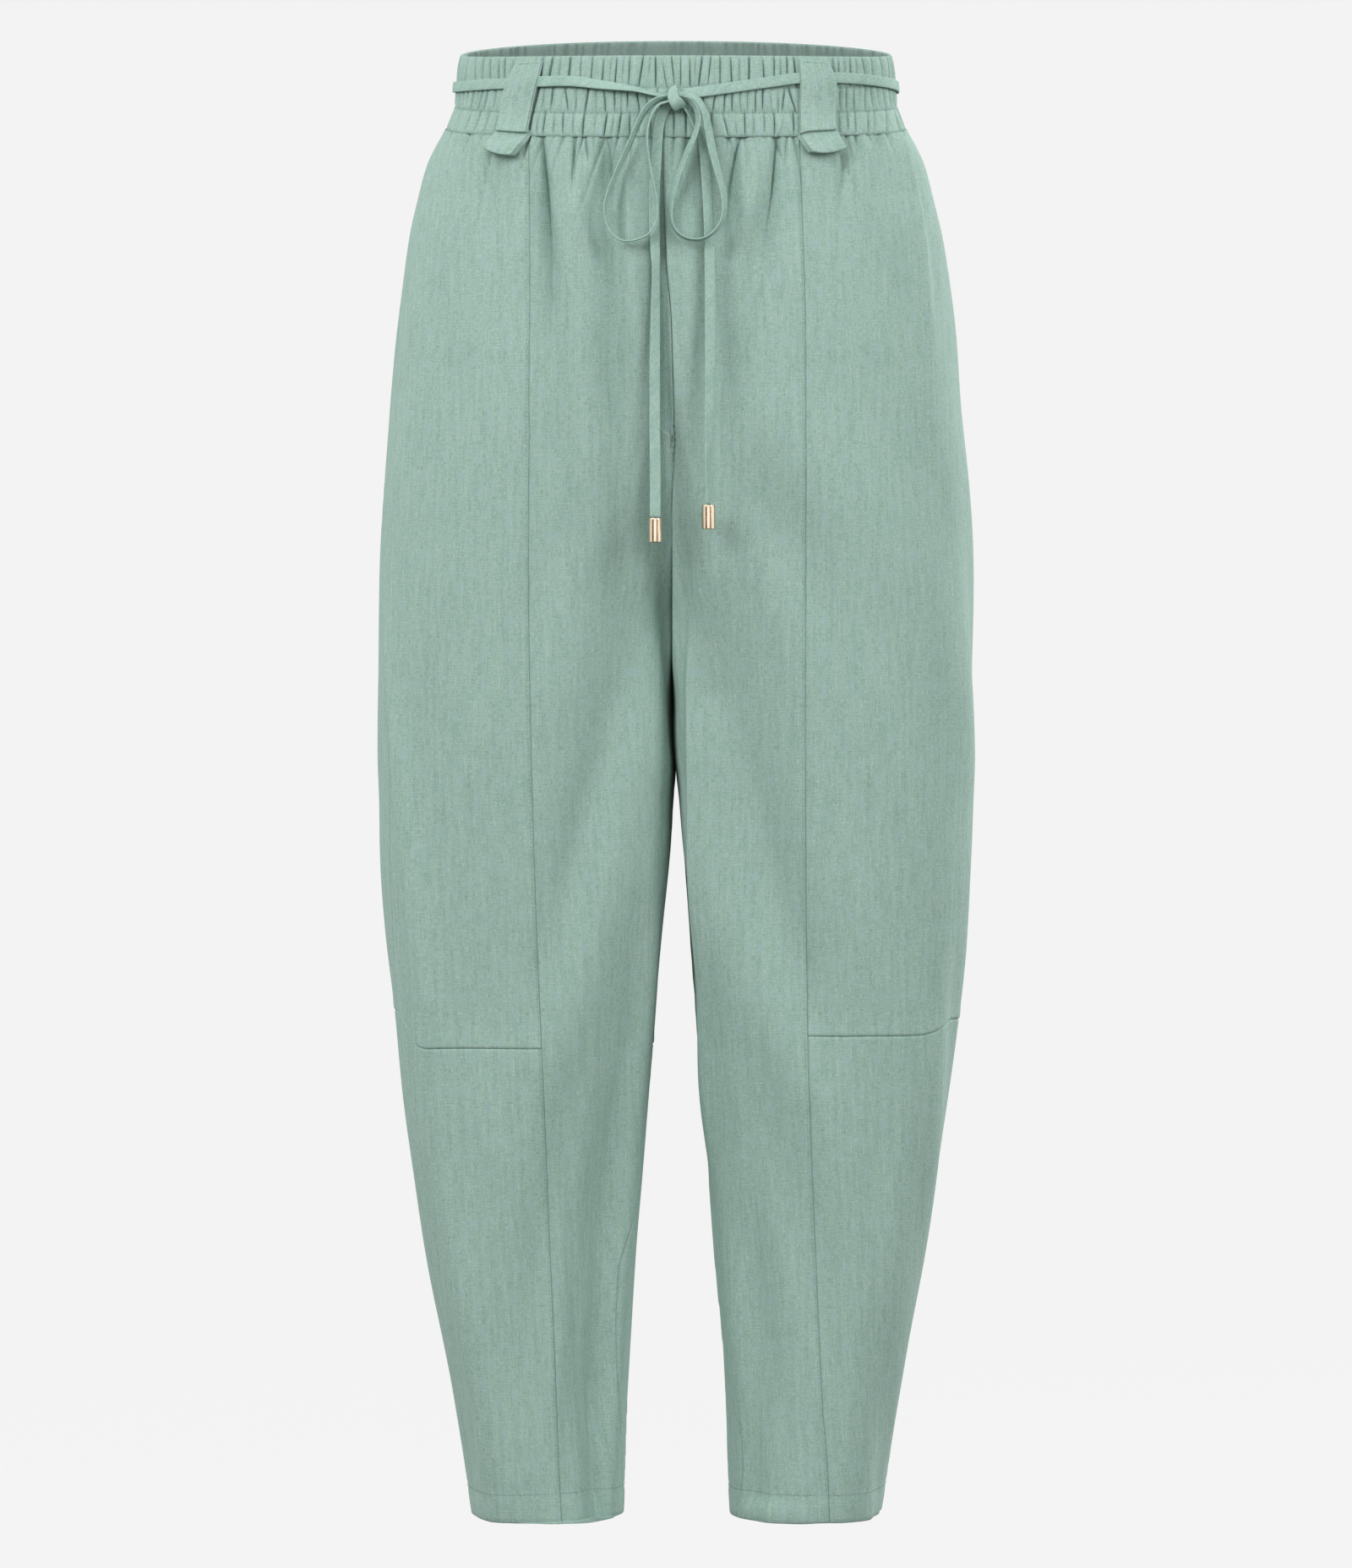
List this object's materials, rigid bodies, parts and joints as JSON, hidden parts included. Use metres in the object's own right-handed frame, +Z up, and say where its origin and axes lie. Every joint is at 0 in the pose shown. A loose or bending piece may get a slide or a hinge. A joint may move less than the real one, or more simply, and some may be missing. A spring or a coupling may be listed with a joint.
{
  "type": "linen drawstring trousers",
  "caption": "Tapered linen trousers with an elasticated waistband, a drawstring tie with metal ends, panelled legs and open hems, filled out as if worn.",
  "frame": {"origin": "centre of the waist opening, 10 mm below its front rim, where a wearer, a mannequin or a hanger holds the garment up", "axes": "+Z up from the hems to the waist, -Y towards the front with the tie, -X to the viewer's left when the front is looked at"},
  "size_m": [0.3943, 0.2502, 0.9882],
  "materials": {
    "linen": "matte plain weave",
    "tie_linen": "matte bias-cut plain weave",
    "pale_gold": "polished"
  },
  "bodies": {
    "root": {"front_centre_left": "linen", "front_centre_right": "linen", "front_side_upper_left": "linen", "front_side_upper_right": "linen", "front_side_lower_left": "linen", "front_side_lower_right": "linen", "back_upper_left": "linen", "back_upper_right": "linen", "back_lower_left": "linen", "back_lower_right": "linen", "waistband": "linen", "belt_loop_left": "linen", "belt_loop_right": "linen", "belt_loop_back": "linen", "tie_belt": "tie_linen", "tie_knot": "tie_linen", "tie_bow_left": "tie_linen", "tie_bow_right": "tie_linen", "tie_end_left": "tie_linen", "tie_end_right": "tie_linen", "cord_end_left": "pale_gold", "cord_end_right": "pale_gold"}
  },
  "joints": []
}
